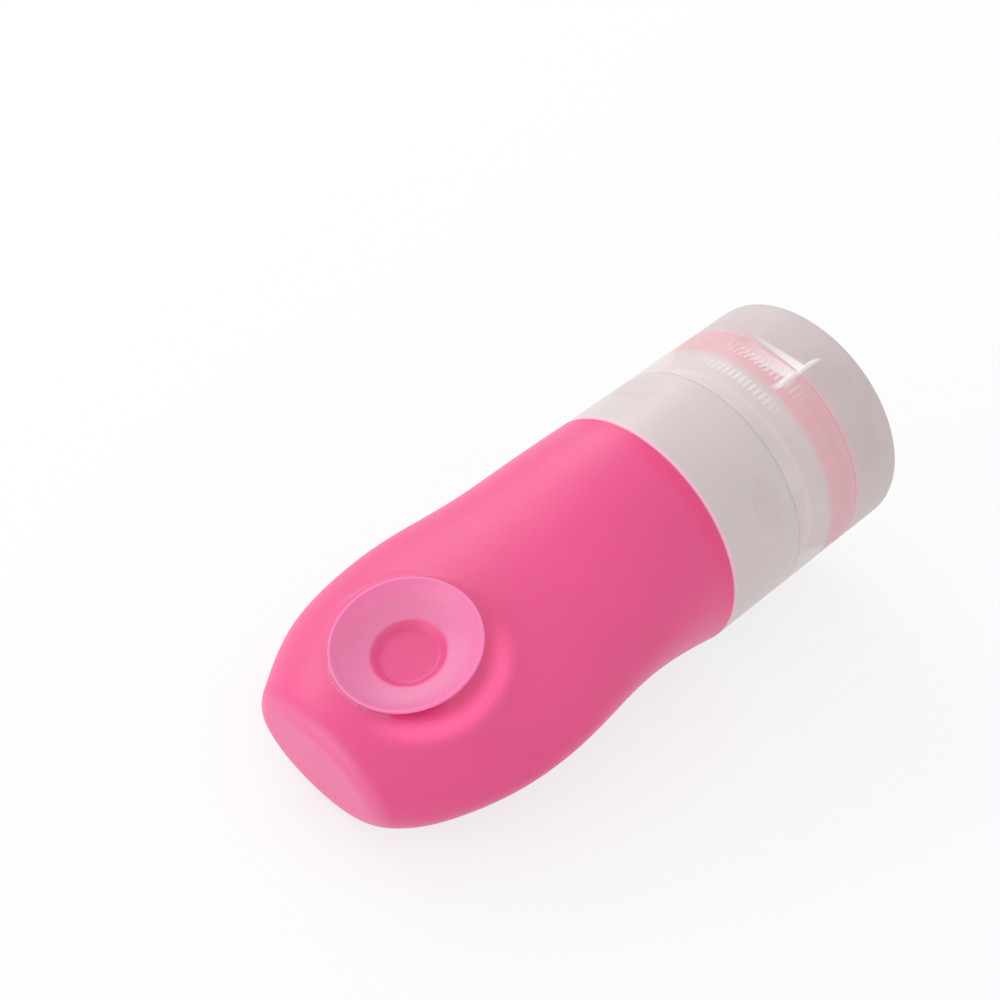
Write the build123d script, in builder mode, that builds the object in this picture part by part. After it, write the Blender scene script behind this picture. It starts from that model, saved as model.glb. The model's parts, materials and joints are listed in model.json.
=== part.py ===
from build123d import *
from math import atan2, degrees
import os

# Travel squeeze bottle in millimetres. Every piece is modelled upright, with the bottle's axis on +Z,
# its base at height 0 and the suction cup towards -X. At the end the assembly is laid down as it rests.

# Driving sizes of the outside
collar_radius = 20.0
body_length = 64.7
collar_height = 15.0
skirt_height = 13.2
lid_height = 9.8
wall = 2.0

# Hair-thin flat where the soft heel and the collar's edge lie on the table
rest_flat_depth = 0.15

# Gaps between pieces
seat_gap = 0.15
running_gap = 0.3
split_gap = 0.25
overrun = 1.0
weld = 0.3

# Soft body: elliptical stations from the base to the collar's edge
station_height_shares = (0, 0.068, 0.176, 0.331, 0.5, 0.67, 0.84, 1)
half_width_shares = (0.62, 0.79, 1.0, 1.14, 1.15, 1.07, 1.02, 1)
half_depth_shares = (0.365, 0.48, 0.49, 0.4625, 0.4925, 0.61, 0.82, 1)
station_rise_shares = (0.06, 0.025, 0.045, 0.0725, 0.1075, 0.11, 0.08, 0)
heel_station = 1
base_edge_radius = 2.0
shoulder_edge_radius = 0.8

# Suction cup on the flat side
cup_height = 17.4
cup_rise = 13.0
cup_tilt = 10.8
cup_rim_radius = 11.1
cup_rim_thickness = 0.4
cup_well_radius = 5.5
cup_dish_depth = 2.6
cup_well_depth = 3.6
cup_floor = 1.2
cup_pad_reach = 1.7
cup_lip_overhang = 1.5
cup_neck_drop = 1.2
cup_foot_reach = 3.4
cup_foot_drop = 4.7

# Neck: silicone sleeve, the collar's threaded tube, and the ribbed ring round both
collar_wall = 2.6
collar_deck = 1.6
collar_edge_radius = 0.4
lip_height = 3.5
neck_height = 9.8
neck_wall = 2.5
neck_step_height = 4.5
neck_top_wall = 1.0
ring_wall = 0.95
ring_flange = 0.75
ring_flange_reach = 2.0
rib_count = 120
rib_height = 0.35
rib_width = 0.4
rib_inset = 0.15
lower_rib_length = 1.9
upper_rib_length = 2.6
rib_row_gap = 2.7

# Screw thread
thread_pitch = 2.5
thread_turns = 1.0
thread_root_width = 1.2
thread_crest_width = 0.6
thread_depth = 1.0
thread_clearance = 0.7
thread_start = 1.2

# Finger dimples of the collar
dimple_count = 4
dimple_first_angle = 147.0
dimple_depth = 1.3
dimple_radius = 4.6
dimple_length = 34.0
dimple_height_share = 0.70

# Cap
cap_wall = 1.7
shoulder_thickness = 1.4
riser_wall = 0.9
deck_thickness = 1.2
riser_height = 3.7
snap_bead = 0.2
snap_bead_height = 0.5
spout_radius = 5.2
spout_height = 3.2
spout_bore_radius = 3.4
plug_seal_wall = 1.1
plug_seal_length = 3.0
socket_wall = 1.2
socket_clearance = 1.95
socket_length = 3.7
scoop_radius = 6.2
scoop_depth = 2.2
scoop_cut = 0.9
cap_edge_radius = 0.3

# Seal, valve and retainer
seal_thickness = 0.9
seal_band = 4.0
valve_flange = 1.05
valve_membrane = 0.6
valve_dome_share = 0.6
valve_dome_drop = 1.3
slit_length_share = 0.68
slit_width = 0.14
retainer_length = 2.0
retainer_bore_share = 0.68
retainer_chamfer = 0.4

# Lid
lid_wall = 1.8
lid_top = 1.3
lid_edge_radius = 0.8
plug_radius = 3.2
plug_tip_radius = 2.7
plug_bore_radius = 1.4
plug_engagement = 1.5
spout_ring_radius = 7.0
spout_ring_wall = 0.9
spout_ring_overlap = 0.9
hinge_flat_depth = 0.8
hinge_drop = 3.9
hinge_rise = 3.4
film_width = 8.0
film_thickness = 0.4

# Heights along the axis
collar_bottom = body_length + seat_gap
collar_top = body_length + collar_height
deck_bottom = collar_top - collar_deck
neck_step = collar_top + neck_step_height
neck_top = collar_top + neck_height
lip_bottom = neck_top + seat_gap
lip_top = lip_bottom + lip_height
ring_bottom = neck_step + seat_gap
ring_flange_bottom = lip_top + seat_gap
ring_top = ring_flange_bottom + ring_flange
seal_bottom = ring_top + seat_gap
seal_top = seal_bottom + seal_thickness
skirt_bottom = collar_top + seat_gap
split_height = skirt_bottom + skirt_height
cap_deck_bottom = seal_top + seat_gap
cap_deck_top = cap_deck_bottom + deck_thickness
riser_top = split_height + riser_height
spout_top = cap_deck_top + spout_height
lid_bottom = split_height + split_gap
lid_end = lid_bottom + lid_height
lid_ceiling = lid_end - lid_top

# Radii that follow from the fits, from the skirt inwards
skirt_bore_radius = collar_radius - cap_wall
thread_crest_radius = skirt_bore_radius - thread_clearance
neck_radius = thread_crest_radius - thread_depth
neck_bore_radius = neck_radius - neck_wall
neck_top_radius = neck_bore_radius + neck_top_wall
sleeve_radius = neck_bore_radius - seat_gap
mouth_radius = sleeve_radius - wall
lip_radius = neck_top_radius
plug_wall_radius = collar_radius - collar_wall - seat_gap
ring_bore_radius = lip_radius + seat_gap
ring_radius = ring_bore_radius + ring_wall
rib_crest_radius = ring_radius + rib_height
cap_thread_crest_radius = neck_radius + running_gap
riser_bore_radius = rib_crest_radius + running_gap
riser_radius = riser_bore_radius + riser_wall
plug_seal_radius = mouth_radius - seat_gap
socket_radius = plug_seal_radius - plug_seal_wall - socket_clearance
socket_bore_radius = socket_radius - socket_wall
valve_radius = socket_bore_radius - seat_gap
valve_dome_radius = valve_radius * valve_dome_share
slit_length = valve_radius * slit_length_share
retainer_bore_radius = valve_radius * retainer_bore_share
lid_bore_radius = collar_radius - lid_wall
hinge_flat = collar_radius - hinge_flat_depth


def station_plane(height, rise):
    """Plane across the body at a height, centred on a station that is raised towards the suction cup."""
    return Plane(origin=(-rise, 0, height), x_dir=(0, 1, 0), z_dir=(0, 0, 1))


def band(inner_radius, outer_radius, bottom, top):
    """Rectangle between two radii and two heights, in the open sketch of a section."""
    with Locations((inner_radius, bottom)):
        Rectangle(outer_radius - inner_radius, top - bottom, align=(Align.MIN, Align.MIN))


def thread_ridge(root_radius, crest_radius, start_height):
    """One turn of trapezoidal ridge on a helix, from its root radius to its crest radius."""
    with BuildPart() as ridge:
        with BuildLine():
            Helix(thread_pitch, thread_pitch * thread_turns, root_radius, center=(0, 0, start_height))
        with BuildSketch(Plane(origin=(root_radius, 0, start_height), x_dir=(1, 0, 0), z_dir=(0, -1, 0))):
            with BuildLine():
                reach = crest_radius - root_radius
                Polyline((0, -thread_root_width / 2), (reach, -thread_crest_width / 2),
                         (reach, thread_crest_width / 2), (0, thread_root_width / 2), close=True)
            make_face()
        sweep(is_frenet=True)
    return ridge.part


stations = [(height * body_length, width * collar_radius, depth * collar_radius, rise * collar_radius)
            for height, width, depth, rise in zip(station_height_shares, half_width_shares,
                                                  half_depth_shares, station_rise_shares)]
base_station = stations[0]
cavity_stations = [(wall, base_station[1] - weld, base_station[2] - weld, base_station[3])]
cavity_stations += [(min(height, body_length - wall), width - wall, depth - wall, rise)
                    for height, width, depth, rise in stations[heel_station:]]

cup_normal = Plane.XY.rotated((0, -90 - cup_tilt, 0)).z_dir
cup_plane = Plane(origin=(-cup_rise, 0, cup_height), x_dir=(0, 1, 0), z_dir=cup_normal)
cup_section = Plane(origin=cup_plane.origin, x_dir=(0, 1, 0), z_dir=Vector(0, 1, 0).cross(cup_normal))
cup_axis = Axis(cup_plane.origin, cup_normal)

# Soft body with its moulded suction cup, sleeve and lip
with BuildPart() as bottle_body:
    for height, half_width, half_depth, rise in stations:
        with BuildSketch(station_plane(height, rise)):
            Ellipse(half_width, half_depth)
    loft()
    fillet(bottle_body.faces().sort_by(Axis.Z)[0].edges(), base_edge_radius)
    fillet(bottle_body.faces().sort_by(Axis.Z)[-1].edges(), shoulder_edge_radius)
    with BuildSketch(cup_section):
        neck_level = -cup_neck_drop - cup_rim_thickness
        neck = (cup_rim_radius - cup_lip_overhang, neck_level)
        foot = (cup_rim_radius + cup_foot_reach, -cup_foot_drop)
        with BuildLine():
            Polyline((0, 0), (cup_rim_radius, 0), (cup_rim_radius, -cup_rim_thickness), neck,
                     (0, neck_level), close=True)
        make_face()
        with BuildLine():
            TangentArc(neck, foot, tangent=(1, -1.5))
            Polyline(foot, (0, -cup_foot_drop), (0, neck_level), neck)
        make_face()
    revolve(axis=cup_axis)
    for height, half_width, half_depth, rise in cavity_stations:
        with BuildSketch(station_plane(height, rise)):
            Ellipse(half_width, half_depth)
    loft(mode=Mode.SUBTRACT)
    with BuildSketch(cup_plane.offset(-cup_well_depth - cup_floor)):
        Circle(cup_well_radius + cup_pad_reach)
    extrude(amount=cup_floor)
    with BuildSketch(cup_section):
        with BuildLine():
            rim_inside = (cup_rim_radius - cup_rim_thickness, 0)
            well_edge = (cup_well_radius, -cup_dish_depth)
            well_floor = (cup_well_radius - cup_rim_thickness, -cup_well_depth)
            Polyline((0, overrun), (cup_rim_radius - cup_rim_thickness, overrun), rim_inside)
            TangentArc(rim_inside, well_edge, tangent=(-1, -1))
            Polyline(well_edge, well_floor, (0, -cup_well_depth), (0, overrun))
        make_face()
    revolve(axis=cup_axis, mode=Mode.SUBTRACT)
    with BuildSketch(Plane.XZ):
        band(plug_wall_radius - wall, plug_wall_radius, body_length - wall, deck_bottom - seat_gap)
        band(mouth_radius, plug_wall_radius, deck_bottom - seat_gap - wall, deck_bottom - seat_gap)
        band(mouth_radius, sleeve_radius, deck_bottom - wall, lip_bottom)
        band(mouth_radius, lip_radius, lip_bottom, lip_top)
    revolve()
    with BuildSketch(Plane.XZ):
        band(0, plug_wall_radius - wall, body_length - wall - overrun, deck_bottom - seat_gap - wall)
    revolve(mode=Mode.SUBTRACT)
bottle_body.part.label = "bottle_body"

# Shape that is pressed out of the collar for one finger
dimple_height = body_length + collar_height * dimple_height_share
dimple_centre = collar_radius - dimple_depth + dimple_radius
with BuildPart() as dimple:
    with BuildSketch(Plane(origin=(dimple_centre, 0, dimple_height), x_dir=(0, 1, 0), z_dir=(0, 0, 1))):
        with BuildLine():
            ThreePointArc((-dimple_length / 2, 0), (0, dimple_radius), (dimple_length / 2, 0))
            Line((dimple_length / 2, 0), (-dimple_length / 2, 0))
        make_face()
    revolve(axis=Axis((dimple_centre, 0, dimple_height), (0, 1, 0)))

# Collar with its finger dimples and threaded neck tube
neck_thread = thread_ridge(neck_radius - weld, thread_crest_radius, collar_top + thread_start)
with BuildPart() as collar:
    with BuildSketch(Plane.XZ):
        band(collar_radius - collar_wall, collar_radius, collar_bottom, collar_top)
        band(neck_bore_radius, collar_radius, deck_bottom, collar_top)
        band(neck_bore_radius, neck_radius, deck_bottom, neck_step)
        band(neck_bore_radius, neck_top_radius, neck_step - overrun, neck_top)
    revolve()
    fillet(collar.edges().filter_by(GeomType.CIRCLE).group_by(SortBy.RADIUS)[-1], collar_edge_radius)
    with PolarLocations(0, dimple_count, start_angle=dimple_first_angle):
        add(dimple.part, mode=Mode.SUBTRACT)
    add(neck_thread)
collar.part.label = "collar"

# Ring that clamps the silicone lip, with two rows of fine ribs
upper_ribs_bottom = ring_top - rib_inset - upper_rib_length
lower_ribs_bottom = upper_ribs_bottom - rib_row_gap - lower_rib_length
with BuildPart() as neck_ring:
    with BuildSketch(Plane.XZ):
        band(neck_top_radius + seat_gap, ring_radius, ring_bottom, neck_top)
        band(ring_bore_radius, ring_radius, neck_top - overrun, ring_top)
        band(ring_bore_radius - ring_flange_reach, ring_radius, ring_flange_bottom, ring_top)
    revolve()
    for rib_bottom, rib_length in ((lower_ribs_bottom, lower_rib_length),
                                   (upper_ribs_bottom, upper_rib_length)):
        with BuildSketch(Plane.XY.offset(rib_bottom)):
            Circle(ring_radius - weld)
            with PolarLocations(ring_radius - weld, rib_count):
                Rectangle(rib_height + weld, rib_width, align=(Align.MIN, Align.CENTER))
            Circle(ring_bore_radius, mode=Mode.SUBTRACT)
        extrude(amount=rib_length)
neck_ring.part.label = "neck_ring"

# Flat seal under the cap's deck
with BuildPart() as cap_seal:
    with BuildSketch(Plane.XZ):
        band(rib_crest_radius - seal_band, rib_crest_radius, seal_bottom, seal_top)
    revolve()
cap_seal.part.label = "cap_seal"

# Flat on the outside round the film hinge, and the scoop for a thumb opposite it
with BuildPart() as hinge_recess:
    with BuildSketch(Plane.XY.offset(split_height - hinge_drop)):
        with Locations((-hinge_flat, 0)):
            Rectangle(overrun + hinge_flat_depth, 2 * collar_radius, align=(Align.MAX, Align.CENTER))
    extrude(amount=hinge_drop + hinge_rise)
with BuildPart() as thumb_scoop:
    with BuildSketch(Plane.YZ.offset(collar_radius - scoop_cut)):
        with Locations((0, split_height + scoop_radius - scoop_depth)):
            Circle(scoop_radius)
    extrude(amount=scoop_cut + overrun)

# Screw cap: skirt, shoulder, riser, deck, spout, plug seal and valve socket
cap_thread = thread_ridge(skirt_bore_radius + weld, cap_thread_crest_radius,
                          collar_top + thread_start + thread_pitch / 2)
with BuildPart() as cap:
    with BuildSketch(Plane.XZ):
        band(skirt_bore_radius, collar_radius, skirt_bottom, split_height)
        band(riser_bore_radius, collar_radius, split_height - shoulder_thickness, split_height)
        band(riser_bore_radius, riser_radius, split_height - shoulder_thickness, riser_top)
        band(0, riser_radius, cap_deck_bottom, cap_deck_top)
        band(0, riser_radius + snap_bead, riser_top - 2 * snap_bead_height, riser_top - snap_bead_height)
        band(0, spout_radius, cap_deck_bottom, spout_top)
        band(plug_seal_radius - plug_seal_wall, plug_seal_radius, cap_deck_bottom - plug_seal_length,
             cap_deck_top)
        band(socket_bore_radius, socket_radius, cap_deck_bottom - socket_length, cap_deck_top)
    revolve()
    with BuildSketch(Plane.XY.offset(cap_deck_bottom - overrun)):
        Circle(spout_bore_radius)
    extrude(amount=spout_top - cap_deck_bottom + 2 * overrun, mode=Mode.SUBTRACT)
    fillet(cap.edges().filter_by(GeomType.CIRCLE).group_by(SortBy.RADIUS)[-1].sort_by(Axis.Z)[0],
           cap_edge_radius)
    add(hinge_recess.part, mode=Mode.SUBTRACT)
    add(thumb_scoop.part, mode=Mode.SUBTRACT)
    add(cap_thread)
cap.part.label = "cap"

# No-drip valve: a clamped flange round a dished membrane with a cross slit
valve_top = cap_deck_bottom - seat_gap
valve_bottom = valve_top - valve_flange
membrane_edge = valve_top - (valve_flange - valve_membrane) / 2
with BuildPart() as slit_valve:
    with BuildSketch(Plane.XZ):
        band(valve_dome_radius, valve_radius, valve_bottom, valve_top)
        with BuildLine():
            TangentArc((0, membrane_edge - valve_dome_drop), (valve_dome_radius + weld, membrane_edge),
                       tangent=(1, 0))
            Line((valve_dome_radius + weld, membrane_edge),
                 (valve_dome_radius + weld, membrane_edge - valve_membrane))
            TangentArc((0, membrane_edge - valve_dome_drop - valve_membrane),
                       (valve_dome_radius + weld, membrane_edge - valve_membrane), tangent=(1, 0))
            Line((0, membrane_edge - valve_dome_drop - valve_membrane),
                 (0, membrane_edge - valve_dome_drop))
        make_face()
    revolve()
    with BuildSketch(Plane.XY.offset(valve_bottom - valve_dome_drop - valve_membrane)):
        Rectangle(slit_length, slit_width)
        Rectangle(slit_width, slit_length)
    extrude(amount=valve_dome_drop + valve_membrane + valve_flange, mode=Mode.SUBTRACT)
slit_valve.part.label = "slit_valve"

# Ring that holds the valve in its socket
retainer_top = valve_bottom - seat_gap
with BuildPart() as valve_retainer:
    with BuildSketch(Plane.XZ):
        band(retainer_bore_radius, valve_radius, retainer_top - retainer_length, retainer_top)
    revolve()
    chamfer(valve_retainer.edges().sort_by(Axis.Z)[:2], retainer_chamfer)
valve_retainer.part.label = "valve_retainer"

# Flip lid with its spout plug, the ring round the spout and the hinge film
plug_bottom = spout_top - plug_engagement
with BuildPart() as lid:
    with BuildSketch(Plane.XZ):
        band(lid_bore_radius, collar_radius, lid_bottom, lid_end)
        band(0, collar_radius, lid_ceiling, lid_end)
        band(spout_ring_radius - spout_ring_wall, spout_ring_radius, spout_top - spout_ring_overlap,
             lid_end - lid_top / 2)
        with BuildLine():
            Polyline((plug_bore_radius, plug_bottom), (plug_tip_radius, plug_bottom),
                     (plug_radius, spout_top), (plug_radius, lid_end - lid_top / 2),
                     (plug_bore_radius, lid_end - lid_top / 2), close=True)
        make_face()
    revolve()
    fillet(lid.edges().filter_by(GeomType.CIRCLE).group_by(SortBy.RADIUS)[-1].sort_by(Axis.Z)[-1],
           lid_edge_radius)
    add(hinge_recess.part, mode=Mode.SUBTRACT)
    with BuildSketch(Plane.XY.offset(split_height)):
        with Locations((-hinge_flat, 0)):
            Rectangle(film_thickness, film_width, align=(Align.MIN, Align.CENTER))
    extrude(amount=split_gap + weld)
lid.part.label = "lid"

# Lay the bottle down on the collar's edge and the heel of its base, suction cup up and cap towards +X
heel_height, heel_half_width, heel_half_depth, heel_rise = stations[heel_station]
heel_reach = heel_half_depth - heel_rise
rest_pitch = degrees(atan2(collar_radius - heel_reach, collar_bottom - heel_height))
lying = Location((0, 0, 0), (0, 90 - rest_pitch, 0))
pieces = (bottle_body, collar, neck_ring, cap_seal, cap, slit_valve, valve_retainer, lid)
extent = Compound(children=[piece.part.moved(lying) for piece in pieces]).bounding_box()
rest = Location((-extent.center().X, -extent.center().Y, -extent.min.Z - rest_flat_depth)) * lying

os.makedirs("parts", exist_ok=True)
for piece in pieces:
    label = piece.part.label
    piece.part = piece.part.moved(rest)
    if piece in (bottle_body, collar):
        piece.part = split(piece.part, bisect_by=Plane.XY, keep=Keep.TOP)
    piece.part.label = label
    export_step(piece.part, f"parts/{label}.step")
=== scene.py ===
import json
import math

import bmesh
import bpy
import numpy as np
from mathutils import Matrix, Vector


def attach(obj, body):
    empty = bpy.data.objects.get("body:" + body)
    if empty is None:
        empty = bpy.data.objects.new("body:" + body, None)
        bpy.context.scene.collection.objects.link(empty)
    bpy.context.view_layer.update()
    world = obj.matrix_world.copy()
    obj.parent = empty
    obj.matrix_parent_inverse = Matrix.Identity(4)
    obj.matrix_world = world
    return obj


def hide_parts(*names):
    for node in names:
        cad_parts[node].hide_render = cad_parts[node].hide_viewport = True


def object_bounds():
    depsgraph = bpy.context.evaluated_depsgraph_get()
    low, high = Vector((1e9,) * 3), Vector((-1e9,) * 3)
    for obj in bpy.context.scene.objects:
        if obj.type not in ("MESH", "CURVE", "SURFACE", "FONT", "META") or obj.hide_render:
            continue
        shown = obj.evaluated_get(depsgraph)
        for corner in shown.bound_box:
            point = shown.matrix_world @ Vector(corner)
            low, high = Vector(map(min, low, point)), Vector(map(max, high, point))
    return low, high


bl_info = {
    "name": "Travel Squeeze Bottle",
    "version": (1, 0, 0),
    "blender": (4, 5, 0),
    "location": "View3D > Sidebar > Bottle",
    "description": "Silicone travel bottle with a suction cup, a dimpled collar and a frosted flip-top cap",
    "category": "Add Mesh",
}

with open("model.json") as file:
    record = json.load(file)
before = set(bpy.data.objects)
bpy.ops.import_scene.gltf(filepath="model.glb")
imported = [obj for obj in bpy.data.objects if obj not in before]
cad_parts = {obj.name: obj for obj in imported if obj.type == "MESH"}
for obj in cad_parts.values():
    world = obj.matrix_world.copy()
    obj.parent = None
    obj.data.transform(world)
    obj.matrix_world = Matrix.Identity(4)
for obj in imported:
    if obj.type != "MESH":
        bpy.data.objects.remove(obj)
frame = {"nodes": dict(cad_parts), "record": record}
cad_low, cad_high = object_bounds()

MM = 0.001
MOUNTS = {mount["name"]: mount for mount in frame["record"]["mounts"]}

# Fineness of the meshes
AROUND = 256
CROWDING = 0.4
MERGE = 0.002 * MM
SHARP_ANGLE = math.radians(35)
ROUNDING_SHARE = 0.45
COLLAR_STEP = 0.4 * MM
RING_STEP = 1.2 * MM
CAP_STEP = 1.5 * MM
COLLAR_SEGMENTS = 288
RING_SEGMENTS = 192
CUP_SEGMENTS = 192
SCOOP_SEGMENTS = 96
BASE_RINGS = 12
WAIST_RINGS = 52
INSIDE_RINGS = 44
DISH_RINGS = 15
FLARE_RINGS = 8
BEAD_RINGS = 21
BEAD_SIDES = 14

# Gaps, welds and overruns between pieces
OVERRUN = 1.0 * MM
SEAT_GAP = 0.15 * MM
EDGE_GAP = 0.04 * MM
RUNNING_GAP = 0.3 * MM
SPLIT_GAP = 0.25 * MM
WELD = 0.3 * MM

# Stations of the soft body, as shares of its length and of the collar's radius
HEIGHT_SHARES = (0, 0.068, 0.176, 0.331, 0.5, 0.67, 0.84, 1)
WIDTH_SHARES = (0.62, 0.79, 1.0, 1.14, 1.15, 1.07, 1.02, 1)
DEPTH_SHARES = (0.365, 0.48, 0.49, 0.4625, 0.4925, 0.61, 0.82, 1)
RISE_SHARES = (0.06, 0.025, 0.045, 0.0725, 0.1075, 0.11, 0.08, 0)
BASE_EDGE = 2.6 * MM
BASE_EDGE_SHARE = 0.8
FACET_SHARES = (0.15, 0.4, 0.65, 0.85)
FLOOR_SHARES = (1, 0.75, 0.45, 0.15)
FLOOR_EDGE = 1.2 * MM
SHOULDER_EDGE = 0.2 * MM
PLUG_EDGE = 0.3 * MM
SLEEVE_EDGE = 0.4 * MM
CUP_ZONE = 32 * MM
CUP_ZONE_STEP = 0.36 * MM

# Suction cup, from its rim's plane downwards, and the part of its flare that is made with it
CUP_HEIGHT = 17.4 * MM
CUP_RISE = 13.0 * MM
CUP_LIP = 0.4 * MM
CUP_WELL = 5.5 * MM
CUP_DISH_DEPTH = 2.6 * MM
CUP_WELL_DEPTH = 3.6 * MM
CUP_FLOOR = 1.2 * MM
CUP_PAD_REACH = 1.7 * MM
CUP_OVERHANG = 1.5 * MM
CUP_NECK_DROP = 1.6 * MM
CUP_FOOT_REACH = 2.3 * MM
CUP_FOOT_DROP = 4.0 * MM
CUP_FOOT_EDGE = 1.3 * MM
CUP_FLARE_REACH = CUP_FOOT_REACH + CUP_OVERHANG
CUP_FLARE_DROP = CUP_FOOT_DROP - CUP_NECK_DROP
CUP_SOLID_TURN = 0.55
CUP_SOLID_INSET = 0.1 * MM
CUP_SOLID_EDGE = 0.2 * MM
CUP_BLEND = 0.9 * MM
CUP_BLEND_SHARE = 0.9
CUP_BEND_INSET = 2.1 * MM
CUP_BEND_SHARE = 0.74
CUP_EDGE = 0.1 * MM
CUP_RIM_DROP = 0.02 * MM
CUP_RIM_INSET = 0.08 * MM
CUP_RIM_EDGE = 0.12 * MM
CUP_LIP_EDGE = 0.15 * MM
CUP_NECK_EDGE = 0.3 * MM
CUP_WELL_EDGE = 0.5 * MM
CUP_CUT_DROP = 0.3 * MM
CUP_CUT_HEIGHT = 3 * MM

# Where the cup's silicone is thin, and where light glows through its foot
THIN_FADE = 0.8 * MM
THIN_MARGIN = 0.3 * MM
THIN_RIM_FADE = 0.1 * MM
THIN_LIP_DEPTH = 0.2 * MM
GLOW_PLACE_SHARE = 0.8
GLOW_WIDTH_SHARE = 0.65
GLOW_SIDE_SHARES = (0.35, 0.5)

# Neck, clamping ring and thread
COLLAR_WALL = 2.6 * MM
COLLAR_DECK = 1.6 * MM
COLLAR_EDGE = 0.05 * MM
COLLAR_INNER_EDGE = 0.15 * MM
COLLAR_LIP = 0.55 * MM
LIP_HEIGHT = 3.5 * MM
NECK_HEIGHT = 9.8 * MM
NECK_STEP = 4.5 * MM
NECK_WALL = 2.5 * MM
NECK_TOP_WALL = 1.0 * MM
NECK_FOOT_EDGE = 0.3 * MM
RING_WALL = 0.95 * MM
RING_EDGE = 0.12 * MM
RING_FLANGE = 0.75 * MM
RING_FLANGE_REACH = 2.0 * MM
RIB_HEIGHT = 0.35 * MM
RIB_WIDTH = 0.4 * MM
RIB_INSET = 0.15 * MM
RIB_SIDES = 10
LOWER_RIB = 1.9 * MM
UPPER_RIB = 2.6 * MM
RIB_ROW_GAP = 2.7 * MM
THREAD_PITCH = 2.5 * MM
THREAD_TURNS = 1.0
THREAD_ROOT = 1.2 * MM
THREAD_CREST = 0.6 * MM
THREAD_DEPTH = 1.0 * MM
THREAD_CLEARANCE = 0.7 * MM
THREAD_START = 1.2 * MM
THREAD_STEPS = 160
THREAD_FADE_SHARE = 0.04

# Finger dimples
DIMPLE_FIRST_ANGLE = math.radians(147)
DIMPLE_DEPTH = 1.3 * MM
DIMPLE_RADIUS = 4.6 * MM
DIMPLE_LENGTH = 34.0 * MM
DIMPLE_HEIGHT_SHARE = 0.70
DIMPLE_EDGE = 0.5 * MM

# Cap
CAP_WALL = 1.7 * MM
SHOULDER = 1.4 * MM
RISER_WALL = 0.9 * MM
DECK = 1.2 * MM
RISER_HEIGHT = 3.7 * MM
SNAP_BEAD = 0.2 * MM
SNAP_BEAD_HEIGHT = 0.5 * MM
SEAL = 0.9 * MM
SPOUT_RADIUS = 5.2 * MM
SPOUT_HEIGHT = 3.2 * MM
SPOUT_BORE = 3.4 * MM
PLUG_SEAL_WALL = 1.1 * MM
PLUG_SEAL_LENGTH = 3.0 * MM
SOCKET_BORE = 7.55 * MM
SOCKET_WALL = 1.2 * MM
SOCKET_LENGTH = 3.7 * MM
SCOOP_RADIUS = 6.2 * MM
SCOOP_DEPTH = 2.2 * MM
SCOOP_CUT = 0.9 * MM
CAP_EDGE = 0.12 * MM
SPLIT_EDGE = 0.05 * MM
SPOUT_EDGE = 0.4 * MM

# Lid
LID_WALL = 1.8 * MM
LID_TOP = 1.3 * MM
LID_EDGE = 0.8 * MM
LID_CORNER = 0.8 * MM
LID_INNER_EDGE = 0.15 * MM
PLUG_RADIUS = 3.2 * MM
PLUG_TIP = 2.7 * MM
PLUG_BORE = 1.4 * MM
PLUG_ENGAGEMENT = 1.5 * MM
SPOUT_RING = 7.0 * MM
SPOUT_RING_WALL = 0.9 * MM
SPOUT_RING_OVERLAP = 0.9 * MM
HINGE_FLAT_DEPTH = 0.8 * MM
HINGE_DROP = 3.9 * MM
HINGE_RISE = 3.4 * MM
HINGE_RAMP = 1.8 * MM
BEAD_LOW_WIDTH = 0.9 * MM
BEAD_HIGH_WIDTH = 0.5 * MM
BEAD_GAP = 0.3 * MM
BEAD_INSET_SHARE = 0.2
BEAD_REACH_SHARE = 0.52
BEAD_SQUARENESS = 8
BEAD_END_SHARE = 0.04
FILM_WIDTH = 8.0 * MM
FILM = 0.4 * MM

# What the frosted plastic shows through it, painted on: the ribs as painted highlights, within the angle
# round the axis from the hinge where the light catches them, and by their heights from the split, and the
# pink lip as painted pink light scattered through the wall, by its lowest and highest height from the split
# and its softness
RIBS_LIT_ANGLE = math.radians(4)
RIBS_LIT_SPREAD = math.radians(25)
RIBS_SEEN = ((-8.85 * MM, -7.05 * MM), (-4.0 * MM, -1.45 * MM))
RIBS_SEEN_SOFTNESS = 0.25 * MM
PINK_IN_CAP = (-6.0 * MM, 1.0 * MM, 0.9 * MM)
PINK_IN_LID = (-9.0 * MM, 0.5 * MM, 1.2 * MM)

# Bands painted on the soft body and on the collar, some from far below the bottle, and their softness:
# painted shade on the body beside the collar, painted light on the base facet, and painted pink light
# bounced from the silicone into the collar's lower edge
FAR_BELOW = -1.0
COLLAR_SHADE_BAND = (-2.4 * MM, 2.0 * MM)
COLLAR_SHADE_SOFTNESS = 1.2 * MM
LIT_BASE_TOP = 1.3 * MM
LIT_BASE_SOFTNESS = 0.8 * MM
PINK_BOUNCE_SOFTNESS = 0.25 * MM

# How much each painted layer covers (the painted shade beside the collar, the painted glow in the cup's
# foot, the painted light on the base facet, the painted pink light in the frosted plastic and the painted
# highlights on the ribs and the bead), and how much the frosted plastic lets through
COLLAR_SHADE_COVER = 0.8
GLOW_COVER = 0.9
GLOW_STRENGTH = 0.22
LIT_BASE_COVER = 0.45
PINK_COVER = 0.55
PINK_CLOUD = 0.5
RIB_HIGHLIGHT_COVER = 0.6
RIB_CONTRAST = 0.9
RIB_LEVEL = 0.3
BEAD_HIGHLIGHT_COVER = 0.85
BEAD_HIGHLIGHT_ALPHA = 0.9
FROST_ALPHA = 0.96
FROST_CLOUD_ALPHA = 0.08
INSIDE_CLEARNESS = 0.6

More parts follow.
